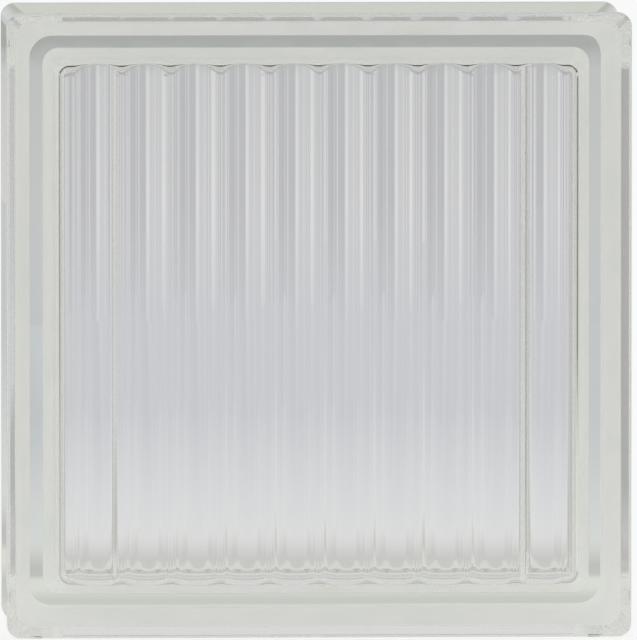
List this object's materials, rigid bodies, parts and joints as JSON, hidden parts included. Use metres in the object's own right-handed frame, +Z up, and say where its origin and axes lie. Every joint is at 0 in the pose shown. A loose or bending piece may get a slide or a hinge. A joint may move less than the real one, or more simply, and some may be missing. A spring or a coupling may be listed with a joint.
{
  "type": "glass block",
  "caption": "Hollow square glass building block, two pressed halves fused at mid-depth, upright reeds inside both faces and a mortar groove all round its edge.",
  "frame": {"origin": "middle of the block's bottom, on the surface that its two lower rims stand on, at the seam's depth", "axes": "+X along the wall, +Y through the wall from the front face to the back face, +Z up, along the reeds"},
  "size_m": [0.19, 0.08, 0.19],
  "materials": {
    "clear_glass": "clear, fire-polished, with a faint grey-green tint in thick parts"
  },
  "bodies": {
    "root": {"front_half": "clear_glass", "back_half": "clear_glass"}
  },
  "joints": []
}
